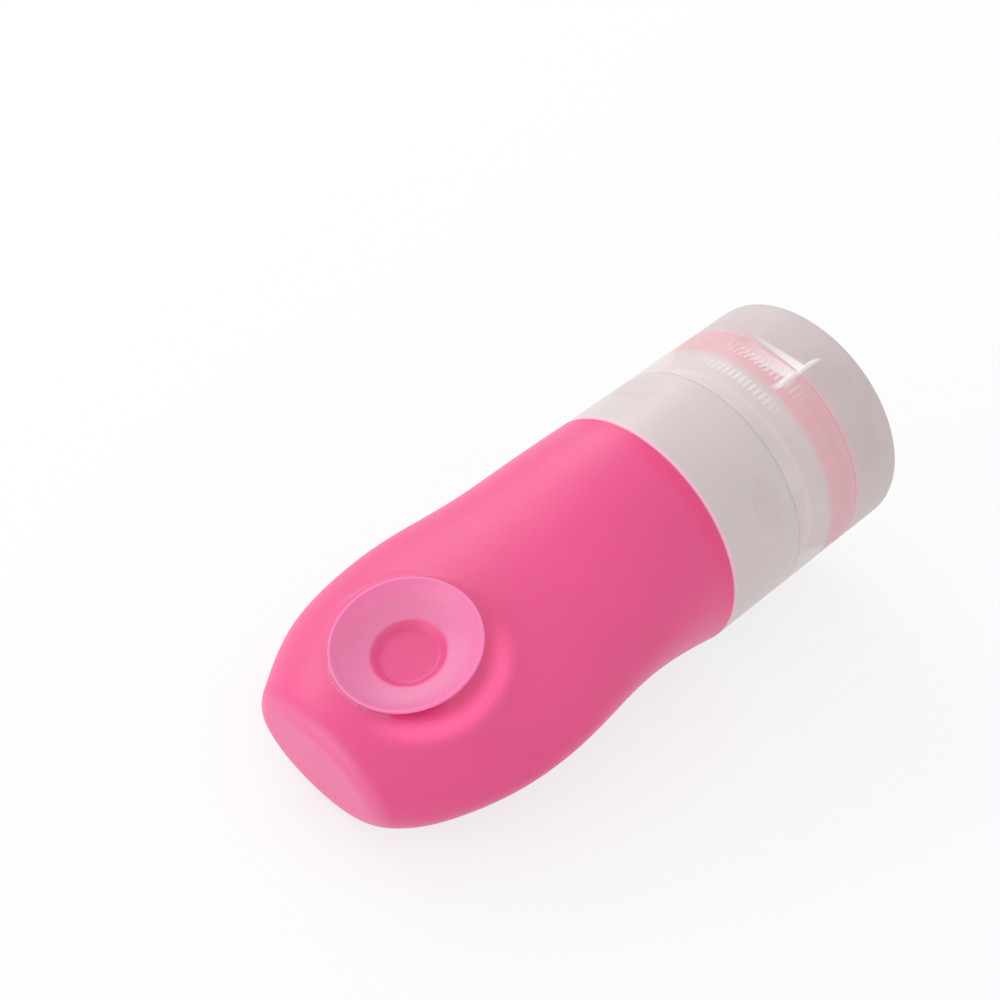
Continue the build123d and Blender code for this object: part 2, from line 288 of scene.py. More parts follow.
# Clouds and grains of the finishes, as (size across, depth)
SILICONE_CLOUD = (14 * MM, 0.15 * MM)
SILICONE_GRAIN = (0.35 * MM, 0.012 * MM)
COLLAR_CLOUD = (9 * MM, 0.08 * MM)
COLLAR_GRAIN = (0.25 * MM, 0.006 * MM)
FROST_CLOUD = (6 * MM, 0.05 * MM)
FROST_GRAIN = (0.2 * MM, 0.010 * MM)
RUBBER_CLOUD = (3 * MM, 0)
RUBBER_GRAIN = (0.3 * MM, 0.01 * MM)

# Camera, table and light
LENS_MM = 72.16
CAMERA_PLACE = Vector((-186.04, -136.40, 215.43)) * MM
CAMERA_TARGET = Vector((1.56, 19.48, 17.68)) * MM
CAMERA_ROLL = math.radians(9.5)
TABLE_REACH = 2.0
TABLE_DROP = 0.02 * MM
TABLE_WHITENESS = 0.75
LAMP_TARGET = Vector((0, 0, 0.02))
KEY_PLACE = Vector((0.03, 0.60, 0.46))
KEY_SIZE = (0.75, 0.32)
KEY_POWER = 1.6
SIDE_PLACE = Vector((-0.65, 0.20, 0.22))
SIDE_SIZE = (0.5, 0.5)
SIDE_POWER = 1.2
SKY_STRENGTH = 0.85


def length_property(name, description, default):
    """Property for a length of the bottle."""
    return bpy.props.FloatProperty(name=name, description=description, default=default, unit="LENGTH")


def colour_property(name, description, default):
    """Property for a colour."""
    return bpy.props.FloatVectorProperty(name=name, description=description, default=default,
                                         subtype="COLOR", size=3, min=0, max=1)


class BottleSizes(bpy.types.PropertyGroup):
    """Driving sizes of the bottle."""

    collar_radius: length_property(
        "Collar Radius", "Outer radius of the collar, the cap and the lid", 20 * MM)
    body_length: length_property("Body Length", "From the base to the collar's edge", 64.7 * MM)
    wall: length_property("Wall", "Wall of the soft body", 2 * MM)
    cup_radius: length_property("Cup Radius", "Radius of the suction cup's rim", 11.1 * MM)
    cup_tilt: bpy.props.FloatProperty(
        name="Cup Tilt", description="Lean of the suction cup towards the base", default=math.radians(10.8),
        subtype="ANGLE")
    collar_height: length_property(
        "Collar Height", "From the body's shoulder to the collar's top", 15 * MM)
    skirt_height: length_property("Skirt Height", "Height of the cap's skirt", 13.2 * MM)
    lid_height: length_property("Lid Height", "Height of the flip lid", 9.8 * MM)
    rib_count: bpy.props.IntProperty(
        name="Ribs", description="Fine ribs in each row round the clamping ring", default=120, min=3)
    dimple_count: bpy.props.IntProperty(
        name="Dimples", description="Finger dimples round the collar", default=4, min=1)


class BottleColours(bpy.types.PropertyGroup):
    """Colours of the bottle and the table."""

    silicone: colour_property("Silicone", "Pink of the thick silicone", (0.78, 0.072, 0.25))
    # Painted shade: a darker, stronger pink painted on the body beside the collar, where the collar shades
    # it
    shaded_silicone: colour_property(
        "Deep Silicone", "Stronger pink of the doubled wall beside the collar", (0.82, 0.05, 0.21))
    glowing_silicone: colour_property(
        "Glowing Silicone", "Bright pink where light comes through the suction cup's foot",
        (0.98, 0.12, 0.34))
    # This pink is the thin dish's own colour, and it is also painted on the base facet as painted light
    thin_and_lit_silicone: colour_property(
        "Thin Silicone", "Paler pink of the suction cup's thin dish", (0.77, 0.20, 0.40))
    collar: colour_property("Collar", "Milky white of the collar", (0.645, 0.565, 0.55))
    # Painted light: pink light that the silicone bounces onto the collar's lower edge
    pink_bounce: colour_property(
        "Pink Edge", "Pink that the silicone throws into the edge of the collar", (1.0, 0.50, 0.66))
    # Painted highlight: near white painted on the hinge's bead and on the ribs where the light catches them
    highlight_white: colour_property(
        "Bright Edge", "Near white of the hinge's bead and of the ribs that show through",
        (0.98, 0.93, 0.93))
    frosted: colour_property("Frosted Plastic", "Tint of the cap", (0.74, 0.64, 0.635))
    # Painted shade: the lid is the cap's same plastic, painted darker than the cap
    shaded_frosted_lid: colour_property("Frosted Lid", "Tint of the lid", (0.60, 0.50, 0.505))
    # Painted light: the lip's pink, scattered through the frosted wall, painted on the cap and on the lid's
    # lower rim
    shown_through: colour_property(
        "Shown Through", "Pink of the silicone lip, as the frosted cap shows it", (0.84, 0.44, 0.50))
    natural: colour_property("Natural Plastic", "Tint of the rings inside the cap", (0.90, 0.84, 0.83))
    seal: colour_property("Seal", "Tint of the clear rubber", (0.72, 0.68, 0.67))
    floor: colour_property("Table", "Colour of the table", (0.9, 0.9, 0.9))


class Plan:
    """Heights along the axis and radii of the fits, worked out from the driving sizes."""

    def __init__(self):
        sizes = bpy.context.scene.bottle_sizes
        self.radius = sizes.collar_radius
        self.wall = sizes.wall
        self.length = sizes.body_length
        self.collar_bottom = self.length + EDGE_GAP
        self.collar_top = self.length + sizes.collar_height
        self.deck_bottom = self.collar_top - COLLAR_DECK
        self.neck_step = self.collar_top + NECK_STEP
        self.neck_top = self.collar_top + NECK_HEIGHT
        self.lip_bottom = self.neck_top + SEAT_GAP
        self.lip_top = self.lip_bottom + LIP_HEIGHT
        self.ring_bottom = self.neck_step + SEAT_GAP
        self.flange_bottom = self.lip_top + SEAT_GAP
        self.ring_top = self.flange_bottom + RING_FLANGE
        self.skirt_bottom = self.collar_top + EDGE_GAP
        self.split = self.collar_top + SEAT_GAP + sizes.skirt_height
        self.cap_deck_bottom = self.ring_top + SEAT_GAP + SEAL + SEAT_GAP
        self.cap_deck_top = self.cap_deck_bottom + DECK
        self.riser_top = self.split + RISER_HEIGHT
        self.spout_top = self.cap_deck_top + SPOUT_HEIGHT
        self.lid_bottom = self.split + EDGE_GAP
        self.lid_end = self.split + SPLIT_GAP + sizes.lid_height
        self.lid_ceiling = self.lid_end - LID_TOP
        self.skirt_bore = self.radius - CAP_WALL
        self.thread_crest = self.skirt_bore - THREAD_CLEARANCE
        self.neck = self.thread_crest - THREAD_DEPTH
        self.neck_bore = self.neck - NECK_WALL
        self.neck_top_radius = self.neck_bore + NECK_TOP_WALL
        self.sleeve = self.neck_bore - SEAT_GAP
        self.mouth = self.sleeve - self.wall
        self.plug_wall = self.radius - COLLAR_WALL - SEAT_GAP
        self.ring_bore = self.neck_top_radius + SEAT_GAP
        self.ring = self.ring_bore + RING_WALL
        self.riser_bore = self.ring + RIB_HEIGHT + RUNNING_GAP
        self.riser = self.riser_bore + RISER_WALL
        self.plug_seal = self.mouth - SEAT_GAP
        self.hinge_flat = self.radius - HINGE_FLAT_DEPTH
        self.flat_edge = math.sqrt(self.radius ** 2 - self.hinge_flat ** 2)

    def lay_down(self):
        """From the upright bottle to its place in the frame, where its axis ends at the cap's mount."""
        axis = Vector(MOUNTS["cap_end"]["axis"]).normalized()
        across = Vector((0, 1, 0))
        base = Vector(MOUNTS["cap_end"]["pos_m"]) - axis * self.lid_end
        return Matrix.Translation(base) @ Matrix((across.cross(axis), across, axis)).transposed().to_4x4()


class Number:
    """A number in a node tree; sums and products of it make math nodes."""

    def __init__(self, tree, socket):
        self.tree, self.socket = tree, socket

    def math(self, operation, *others):
        made = self.tree.nodes.new("ShaderNodeMath")
        made.operation = operation
        for place, value in enumerate((self, *others)):
            if isinstance(value, Number):
                self.tree.links.new(value.socket, made.inputs[place])
            else:
                made.inputs[place].default_value = value
        return Number(self.tree, made.outputs[0])

    def __add__(self, other):
        return self.math("ADD", other)

    def __sub__(self, other):
        return self.math("SUBTRACT", other)

    def __mul__(self, other):
        return self.math("MULTIPLY", other)

    def __truediv__(self, other):
        return self.math("DIVIDE", other)


def feed(tree, made, inputs):
    """Gives the inputs of a node, by name or place, their values or the outputs that drive them."""
    for place, value in inputs.items():
        value = value.socket if isinstance(value, Number) else value
        if isinstance(value, bpy.types.NodeSocket):
            tree.links.new(value, made.inputs[place])
        else:
            made.inputs[place].default_value = value


def node(tree, kind, inputs=None, **settings):
    """Adds a node with its settings and its inputs."""
    made = tree.nodes.new(kind)
    for setting, value in settings.items():
        setattr(made, setting, value)
    feed(tree, made, inputs or {})
    return made


def number(tree, kind, output=0, inputs=None, **settings):
    """Adds a node and gives one of its outputs as a number."""
    return Number(tree, node(tree, kind, inputs, **settings).outputs[output])


def new_tree(name, **inputs):
    """Empty geometry tree with named inputs, and its input node."""
    tree = bpy.data.node_groups.new(name, "GeometryNodeTree")
    tree.interface.new_socket("Geometry", in_out="INPUT", socket_type="NodeSocketGeometry")
    for label, kind in inputs.items():
        tree.interface.new_socket(label, in_out="INPUT", socket_type="NodeSocket" + kind)
    tree.interface.new_socket("Geometry", in_out="OUTPUT", socket_type="NodeSocketGeometry")
    return tree, tree.nodes.new("NodeGroupInput").outputs


def finish_tree(tree, geometry, material):
    """Ends a geometry tree in real geometry with its material."""
    real = node(tree, "GeometryNodeRealizeInstances", {"Geometry": geometry})
    painted = node(tree, "GeometryNodeSetMaterial", {"Geometry": real.outputs[0], "Material": material})
    node(tree, "NodeGroupOutput", {"Geometry": painted.outputs[0]})
    return tree


def apply_tree(piece, tree, **values):
    """Runs a geometry tree on a piece and keeps the result as its plain mesh."""
    modifier = piece.modifiers.new(tree.name, "NODES")
    modifier.node_group = tree
    for item in tree.interface.items_tree:
        if item.in_out == "INPUT" and item.name in values:
            modifier[item.identifier] = values[item.name]
    keep_mesh(piece)


def keep_mesh(piece):
    """Keeps the evaluated mesh of a piece and takes its modifiers off."""
    piece.update_tag()
    graph = bpy.context.evaluated_depsgraph_get()
    mesh = bpy.data.meshes.new_from_object(piece.evaluated_get(graph), preserve_all_data_layers=True,
                                           depsgraph=graph)
    piece.modifiers.clear()
    piece.data = mesh


def new_piece(name, points, edges=(), faces=(), material=None):
    """Adds an object with a mesh to the scene."""
    mesh = bpy.data.meshes.new(name)
    mesh.from_pydata([tuple(point) for point in points], list(edges), list(faces))
    if material:
        mesh.materials.append(material)
    piece = bpy.data.objects.new(name, mesh)
    bpy.context.scene.collection.objects.link(piece)
    return piece


def vertex_places(piece):
    """Places of the vertices of a piece, one in each row."""
    places = np.empty(len(piece.data.vertices) * 3)
    piece.data.vertices.foreach_get("co", places)
    return places.reshape(-1, 3)


def write_attribute(piece, name, values):
    """Writes a value at each vertex of a piece, for its material to read."""
    piece.data.attributes.new(name, "FLOAT", "POINT").data.foreach_set("value", values)


def ramp(values, start, width):
    """0 up to a start, 1 from a width beyond it, and an even rise between them."""
    return np.clip((values - start) / width, 0, 1)


def bent(start, corner, end, share):
    """Point at a share of the curve from start to end that a corner pulls out."""
    return start * (1 - share) ** 2 + corner * 2 * share * (1 - share) + end * share ** 2


def clean(piece):
    """Merges doubles, turns the faces outwards and shades the piece smooth up to a sharp angle."""
    work = bmesh.new()
    work.from_mesh(piece.data)
    bmesh.ops.remove_doubles(work, verts=work.verts, dist=MERGE)
    bmesh.ops.recalc_face_normals(work, faces=work.faces)
    work.to_mesh(piece.data)
    work.free()
    piece.data.shade_smooth()
    piece.data.set_sharp_from_angle(angle=SHARP_ANGLE)


def skin(name, rows, material):
    """Closed mesh over rings of points, with a fan over the first and the last ring."""
    rows = np.asarray(rows)
    count, around = rows.shape[:2]
    points = np.concatenate([rows.reshape(-1, 3), rows[:1].mean(axis=1), rows[-1:].mean(axis=1)])
    pairs = [(a, (a + 1) % around) for a in range(around)]
    faces = [(row * around + a, row * around + b, (row + 1) * around + b, (row + 1) * around + a)
             for row in range(count - 1) for a, b in pairs]
    last = (count - 1) * around
    faces += [(count * around, b, a) for a, b in pairs]
    faces += [(count * around + 1, last + a, last + b) for a, b in pairs]
    piece = new_piece(name, points, faces=faces, material=material)
    clean(piece)
    return piece


def rounded(corners, radius, closed=True, steps=4):
    """Outline of (radius, height) corners, each rounded by the radius or by a third value of its own."""
    outline = []
    count = len(corners)
    for index, corner in enumerate(corners):
        here = Vector(corner[:2])
        if not closed and index in (0, count - 1):
            outline.append(tuple(here))
            continue
        before = Vector(corners[index - 1][:2]) - here
        after = Vector(corners[(index + 1) % count][:2]) - here
        wanted = corner[2] if len(corner) > 2 else radius
        reach = min(wanted, before.length * ROUNDING_SHARE, after.length * ROUNDING_SHARE)
        start, end = here + before.normalized() * reach, here + after.normalized() * reach
        outline += [tuple(bent(start, here, end, step / steps)) for step in range(steps + 1)]
    return outline


def refined(outline, longest, closed=True):
    """The outline with its long runs divided."""
    fine = []
    ends = outline[1:] + (outline[:1] if closed else [])
    for start, end in zip(outline, ends):
        start, end = Vector(start), Vector(end)
        pieces = max(1, math.ceil((end - start).length / longest))
        fine += [tuple(start.lerp(end, step / pieces)) for step in range(pieces)]
    return fine + ([] if closed else [outline[-1]])


def lathe_tree():
    """Spins a section, drawn as (radius less the core, height downwards), round the bottle's axis."""
    tree, given = new_tree("lathe", Segments="Int", Core="Float", Material="Material")
    section = node(tree, "GeometryNodeMeshToCurve", {0: given["Geometry"]})
    ring = node(tree, "GeometryNodeCurvePrimitiveCircle",
                {"Resolution": given["Segments"], "Radius": given["Core"]})
    level = node(tree, "GeometryNodeSetCurveNormal", {"Curve": ring.outputs[0]}, mode="Z_UP")
    spun = node(tree, "GeometryNodeCurveToMesh", {0: level.outputs[0], 1: section.outputs[0]})
    joined = node(tree, "GeometryNodeMergeByDistance", {"Geometry": spun.outputs[0], "Distance": MERGE})
    return finish_tree(tree, joined.outputs[0], given["Material"])


def turned(name, outline, material, segments=AROUND, closed=True):
    """Piece spun from its outline of (radius, height) points."""
    core = 1.0 * MM
    points = [(radius - core, -height, 0) for radius, height in outline]
    edges = [(index, index + 1) for index in range(len(points) - 1)]
    if closed:
        edges.append((len(points) - 1, 0))
    piece = new_piece(name, points, edges=edges)
    tree = bpy.data.node_groups.get("lathe") or lathe_tree()
    apply_tree(piece, tree, Segments=segments, Core=core, Material=material)
    clean(piece)
    return piece


def dimple_tree():
    """Presses finger dimples into the outside of a turned piece."""
    tree, given = new_tree("finger_dimples", Count="Int", First="Float", Height="Float", Centre="Float",
                           Radius="Float", Length="Float", Edge="Float", Material="Material")
    value = {label: Number(tree, given[label]) for label in
             ("Count", "First", "Height", "Centre", "Radius", "Length", "Edge")}
    place = node(tree, "ShaderNodeSeparateXYZ", {0: node(tree, "GeometryNodeInputPosition").outputs[0]})
    east, north, high = (Number(tree, socket) for socket in place.outputs)
    radius = (east * east + north * north).math("SQRT")
    half_step = Number(tree, node(tree, "ShaderNodeValue").outputs[0])
    half_step.socket.default_value = math.pi
    half_step = half_step / value["Count"]
    turn = (north.math("ARCTAN2", east) - value["First"]).math("WRAP", half_step, half_step * -1.0)
    across = radius * turn.math("SINE")
    rise = high - value["Height"]
    bow = across * across * value["Radius"] * 4.0 / (value["Length"] * value["Length"])
    spindle = value["Radius"] - bow
    inside = (spindle * spindle - rise * rise).math("MAXIMUM", 0.0)
    floor = (value["Centre"] - inside.math("SQRT")) / turn.math("COSINE")
    share = radius.math("SMOOTH_MIN", floor, value["Edge"]) / radius
    moved = node(tree, "ShaderNodeCombineXYZ", {0: east * share, 1: north * share, 2: high})
    shaped = node(tree, "GeometryNodeSetPosition",
                  {"Geometry": given["Geometry"], "Position": moved.outputs[0]})
    return finish_tree(tree, shaped.outputs[0], given["Material"])


def rib_tree():
    """Adds two rows of half-round ribs round a ring."""
    tree, given = new_tree("rib_rows", Count="Int", Radius="Float", Height="Float", Width="Float",
                           Lower_Bottom="Float", Lower_Length="Float", Upper_Bottom="Float",
                           Upper_Length="Float", Material="Material")
    bar = node(tree, "GeometryNodeMeshCylinder", {"Vertices": RIB_SIDES, "Radius": 1.0, "Depth": 1.0})
    index = number(tree, "GeometryNodeInputIndex")
    turn = index * (2 * math.pi) / Number(tree, given["Count"])
    facing = node(tree, "ShaderNodeCombineXYZ", {2: turn})
    parts = [given["Geometry"]]
    for row in ("Lower", "Upper"):
        length = Number(tree, given[row + "_Length"])
        middle = Number(tree, given[row + "_Bottom"]) + length * 0.5
        ring = node(tree, "GeometryNodeMeshCircle",
                    {"Vertices": given["Count"], "Radius": given["Radius"]})
        lift = node(tree, "ShaderNodeCombineXYZ", {2: middle})
        raised = node(tree, "GeometryNodeSetPosition",
                      {"Geometry": ring.outputs[0], "Offset": lift.outputs[0]})
        size = node(tree, "ShaderNodeCombineXYZ",
                    {0: given["Height"], 1: Number(tree, given["Width"]) * 0.5, 2: length})
        bars = node(tree, "GeometryNodeInstanceOnPoints",
                    {"Points": raised.outputs[0], "Instance": bar.outputs["Mesh"],
                     "Rotation": facing.outputs[0], "Scale": size.outputs[0]})
        parts.append(bars.outputs[0])
    joined = node(tree, "GeometryNodeJoinGeometry")
    for part in parts:
        tree.links.new(part, joined.inputs[0])
    return finish_tree(tree, joined.outputs[0], given["Material"])


def thread(name, root, crest, start, material):
    """Trapezoidal ridge on a helix, from its root radius to its crest radius, that fades out at its ends."""
    rows = []
    for share in np.linspace(0, 1, THREAD_STEPS + 1):
        angle = 2 * math.pi * THREAD_TURNS * share
        height = start + THREAD_PITCH * THREAD_TURNS * share
        taper = min(1, share / THREAD_FADE_SHARE, (1 - share) / THREAD_FADE_SHARE)
        top = root + (crest - root) * taper
        section = ((root, -THREAD_ROOT / 2), (top, -THREAD_CREST / 2), (top, THREAD_CREST / 2),
                   (root, THREAD_ROOT / 2))
        rows.append([(radius * math.cos(angle), radius * math.sin(angle), height + rise)
                     for radius, rise in section])
    return skin(name, rows, material)


def block(name, low, high, material):
    """Box between two corners."""
    corners = [(x, y, z) for x in (low[0], high[0]) for y in (low[1], high[1]) for z in (low[2], high[2])]
    faces = ((0, 1, 3, 2), (4, 6, 7, 5), (0, 4, 5, 1), (2, 3, 7, 6), (0, 2, 6, 4), (1, 5, 7, 3))
    piece = new_piece(name, corners, faces=faces, material=material)
    clean(piece)
    return piece


def combine(piece, operation, *others):
    """Joins closed pieces into one skin, or cuts them out of it, and deletes them."""
    for other in others:
        modifier = piece.modifiers.new(operation, "BOOLEAN")
        modifier.operation = operation
        modifier.solver = "EXACT"
        modifier.object = other
        keep_mesh(piece)
        bpy.data.objects.remove(other)
    clean(piece)


def seat(piece, plan, body, slot, *nodes):
    """Lays a finished piece down with the bottle, flat where it meets the table, and ties it to its body."""
    piece.data.transform(plan.lay_down())
    places = vertex_places(piece).clip(cad_low, cad_high)
    piece.data.vertices.foreach_set("co", places.ravel())
    piece.data.update()
    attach(piece, body)
    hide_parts(*nodes)


def spline(knots, values, places):
    """Values at each place of the natural cubic spline through the knots."""
    knots, values = np.asarray(knots, float), np.asarray(values, float)
    step, rise = np.diff(knots), np.diff(values)
    system, pull = np.eye(len(knots)), np.zeros(len(knots))
    for index in range(1, len(knots) - 1):
        before, after = step[index - 1], step[index]
        system[index, index - 1:index + 2] = (before, 2 * (before + after), after)
        pull[index] = 6 * (rise[index] / after - rise[index - 1] / before)
    bend = np.linalg.solve(system, pull)
    span = np.clip(np.searchsorted(knots, places, side="right") - 1, 0, len(knots) - 2)
    ahead, gone = knots[span + 1] - places, places - knots[span]
    width = step[span]
    return ((bend[span] * ahead ** 3 + bend[span + 1] * gone ** 3) / (6 * width)
            + (values[span] / width - bend[span] * width / 6) * ahead
            + (values[span + 1] / width - bend[span + 1] * width / 6) * gone)


def body_section(plan, heights):
    """Half width, half depth, rise and height of the body's outside at each height."""
    heights = np.asarray(heights, float)
    knots = np.array(HEIGHT_SHARES) * plan.length
    return np.stack([spline(knots, np.array(shares) * plan.radius, heights)
                     for shares in (WIDTH_SHARES, DEPTH_SHARES, RISE_SHARES)] + [heights], axis=1)


def to_rings(sections):
    """Rings of points for (half width, half depth, rise, height), more of them on the suction cup's side."""
    even = np.linspace(0, 2 * math.pi, AROUND, endpoint=False)
    angle = even + CROWDING * np.sin(even)
    width, depth, rise, height = (np.asarray(sections)[:, None, column] for column in range(4))
    return np.stack([depth * np.cos(angle) - rise, width * np.sin(angle), height + 0 * angle], axis=-1)


def cup_frame():
    """Centre of the cup's rim, the direction it faces, and the direction in its plane towards the collar."""
    tilt = bpy.context.scene.bottle_sizes.cup_tilt
    centre = np.array((-CUP_RISE, 0, CUP_HEIGHT))
    facing = np.array((-math.cos(tilt), 0, -math.sin(tilt)))
    along = np.array((-math.sin(tilt), 0, math.cos(tilt)))
    return centre, facing, along


def raise_pedestal(points):
    """Blends the flared pedestal of the suction cup into the upper side of the body's outside."""
    centre, facing, along = cup_frame()
    foot = bpy.context.scene.bottle_sizes.cup_radius + CUP_FOOT_REACH
    level = (points - centre) @ facing
    reach = np.hypot((points - centre) @ along, points[..., 1])
    inner = np.clip((foot - reach) / CUP_FLARE_REACH, 0, math.cos(CUP_SOLID_TURN * CUP_BLEND_SHARE))
    beyond = np.maximum(reach - foot, 0) ** 2 / (2 * CUP_FOOT_EDGE)
    pedestal = -CUP_NECK_DROP - CUP_FLARE_DROP * np.sqrt(1 - inner ** 2) - beyond
    meeting = np.maximum(CUP_BLEND - np.abs(level - pedestal), 0) ** 2 / (4 * CUP_BLEND)
    lifted = np.maximum(level, pedestal) + meeting
    lifted = np.where(points[..., 0] < 0, lifted, level)
    return points + (lifted - level)[..., None] * facing


def cup_outline(dish_drop=0.0):
    """Half section of the suction cup, as (distance from its axis, height over its rim's plane)."""
    rim = bpy.context.scene.bottle_sizes.cup_radius
    rim_inside = Vector((rim - CUP_LIP, 0))
    well_edge = Vector((CUP_WELL, -CUP_DISH_DEPTH))
    bend = Vector((rim - CUP_BEND_INSET, -CUP_DISH_DEPTH * CUP_BEND_SHARE))
    dish = [bent(well_edge, bend, rim_inside, share) for share in np.linspace(0, 1, DISH_RINGS)]
    dish = [(point.x, point.y - dish_drop) for point in dish]
    well_floor = -CUP_WELL_DEPTH - dish_drop
    well = [(0, well_floor), (CUP_WELL - 3 * CUP_LIP, well_floor, CUP_WELL_EDGE), (*dish[0], CUP_WELL_EDGE)]
    return well, dish[1:]


def spin_about_cup(name, outline, material):
    """Piece spun about the suction cup's axis from its half section."""
    piece = turned(name, outline, material, segments=CUP_SEGMENTS, closed=False)
    centre, facing, along = cup_frame()
    turn = Matrix((along, (0, -1, 0), facing)).transposed().to_4x4()
    piece.data.transform(Matrix.Translation(centre) @ turn)
    clean(piece)
    return piece


def suction_cup(material):
    """The cup with its thin lip, dish and well, on the top of its pedestal."""
    rim = bpy.context.scene.bottle_sizes.cup_radius
    neck = rim - CUP_OVERHANG
    well, dish = cup_outline()
    flare = [(neck + CUP_FLARE_REACH * (1 - math.cos(angle)),
              -CUP_NECK_DROP - CUP_FLARE_DROP * math.sin(angle))
             for angle in np.linspace(0, CUP_SOLID_TURN, FLARE_RINGS)]
    foot = flare[-1][0] - CUP_SOLID_INSET
    pad = CUP_WELL + CUP_PAD_REACH
    pad_bottom = -CUP_WELL_DEPTH - CUP_FLOOR
    outline = rounded(well + dish[:1], CUP_EDGE, closed=False, steps=6)[:-1] + dish
    lip = [dish[-1], (rim - CUP_RIM_INSET, CUP_RIM_DROP, CUP_RIM_EDGE), (rim, -CUP_LIP, CUP_LIP_EDGE),
           (neck, -CUP_NECK_DROP, CUP_NECK_EDGE), flare[1]]
    outline += rounded(lip, CUP_EDGE, closed=False)[1:-1]
    outline += flare[1:] + [(foot, pad_bottom + CUP_SOLID_EDGE), (pad, pad_bottom), (0, pad_bottom)]
    return spin_about_cup("suction_cup", outline, material)


def cup_hollow(material):
    """Space over the cup's dish, a little below the dish that the cup then fills."""
    well, dish = cup_outline(dish_drop=CUP_CUT_DROP)
    outline = [corner[:2] for corner in well] + dish
    outline += [(dish[-1][0], CUP_CUT_HEIGHT), (0, CUP_CUT_HEIGHT)]
    return spin_about_cup("cup_hollow", outline, material)


def mark_silicone(piece):
    """Writes where the silicone is thin, on the cup's dish and lip, and where light glows in its foot."""
    rim = bpy.context.scene.bottle_sizes.cup_radius
    centre, facing, along = cup_frame()
    points = vertex_places(piece) - centre
    level = points @ facing
    reach = np.hypot(points @ along, points[:, 1])
    outside_well = ramp(reach, CUP_WELL - THIN_FADE / 2, THIN_FADE)
    within_rim = ramp(rim + THIN_MARGIN - reach, 0, THIN_RIM_FADE)
    lowest = np.where(reach > rim - CUP_OVERHANG, THIN_LIP_DEPTH - CUP_NECK_DROP,
                      -CUP_DISH_DEPTH - THIN_MARGIN)
    above_neck = ramp(level, lowest, THIN_MARGIN)
    write_attribute(piece, "thin", outside_well * within_rim * above_neck)
    foot = rim + GLOW_PLACE_SHARE * CUP_FOOT_REACH
    from_foot = (reach - foot) / (GLOW_WIDTH_SHARE * CUP_FOOT_REACH)
    near_side = ramp(-points[:, 1] / np.maximum(reach, MM), *GLOW_SIDE_SHARES)
    write_attribute(piece, "foot_glow",
                    np.exp(-from_foot ** 2) * (level > -2 * CUP_FOOT_DROP) * near_side)


def principled(name):
    """New node material, its tree, its shader and Object coordinates."""
    material = bpy.data.materials.new(name)
    material.use_nodes = True
    tree = material.node_tree
    place = node(tree, "ShaderNodeTexCoord").outputs["Object"]
    return material, tree, tree.nodes["Principled BSDF"], place


def noise(tree, place, size):
    """Noise between 0 and 1 whose features are about a size across."""
    return number(tree, "ShaderNodeTexNoise", "Fac", {"Vector": place, "Scale": 1 / size, "Detail": 2.0})


def attribute(tree, name):
    """What was written at the vertices of a piece under a name, and 0 where nothing was."""
    return number(tree, "ShaderNodeAttribute", "Fac", attribute_name=name)


def mottle(tree, amount, shade, pale):
    """Colour between a shade and a pale one."""
    ends = [end if isinstance(end, bpy.types.NodeSocket) else (*end, 1) for end in (shade, pale)]
    return node(tree, "ShaderNodeMix", {0: amount, 6: ends[0], 7: ends[1]}, data_type="RGBA").outputs[2]


def clouded(tree, cloud, colour, spread):
    """A colour that a cloud makes a little darker and lighter."""
    shade, pale = ([min(1, value * share) for value in colour] for share in (1 - spread, 1 + spread))
    return mottle(tree, cloud, shade, pale)


def moulded(tree, place, cloud, grain):
    """Noise of a moulded surface's cloud and grain, and the normal under both as a shader's input."""
    noises = [noise(tree, place, size) for size, _ in (cloud, grain)]
    normal = {}
    for height, (_, depth) in zip(reversed(noises), (grain, cloud)):
        if depth:
            bump = node(tree, "ShaderNodeBump",
                        {"Height": height, "Distance": depth, "Strength": 1.0, **normal})
            normal = {"Normal": bump.outputs[0]}
    return *noises, normal


def upright(tree, place, axis):
    """One coordinate of the bottle as it stands upright, 2 being the height along its axis."""
    row = Plan().lay_down().inverted()[axis]
    along = number(tree, "ShaderNodeVectorMath", "Value", {0: place, 1: row[:3]}, operation="DOT_PRODUCT")
    return along + row[3]


def band_mask(tree, place, low, high, softness):
    """1 between two heights along the bottle's axis and 0 beyond them, with soft ends."""
    height = upright(tree, place, 2)
    ends = [number(tree, "ShaderNodeMapRange", 0,
                   {"Value": height, "From Min": edge - softness, "From Max": edge + softness},
                   interpolation_type="SMOOTHSTEP") for edge in (low, high)]
    return ends[0] - ends[1]


def rib_highlight_mask(tree, place, rows):
    """1 on the two rows of ribs, round the hinge where the light catches them, for a painted highlight on
    the cap, and 0 elsewhere.
    """
    turn = (upright(tree, place, 1) * -1.0).math("ARCTAN2", upright(tree, place, 0) * -1.0)
    wave = (turn * bpy.context.scene.bottle_sizes.rib_count).math("SINE") * RIB_CONTRAST + RIB_LEVEL
    window = ((turn - RIBS_LIT_ANGLE) / RIBS_LIT_SPREAD).math("POWER", 2.0)
    window = (window * -1.0 + 1.0).math("MAXIMUM", 0.0)
    lower, upper = (band_mask(tree, place, *row, RIBS_SEEN_SOFTNESS) for row in rows)
    return wave.math("MAXIMUM", 0.0).math("MINIMUM", 1.0) * window * (lower + upper)


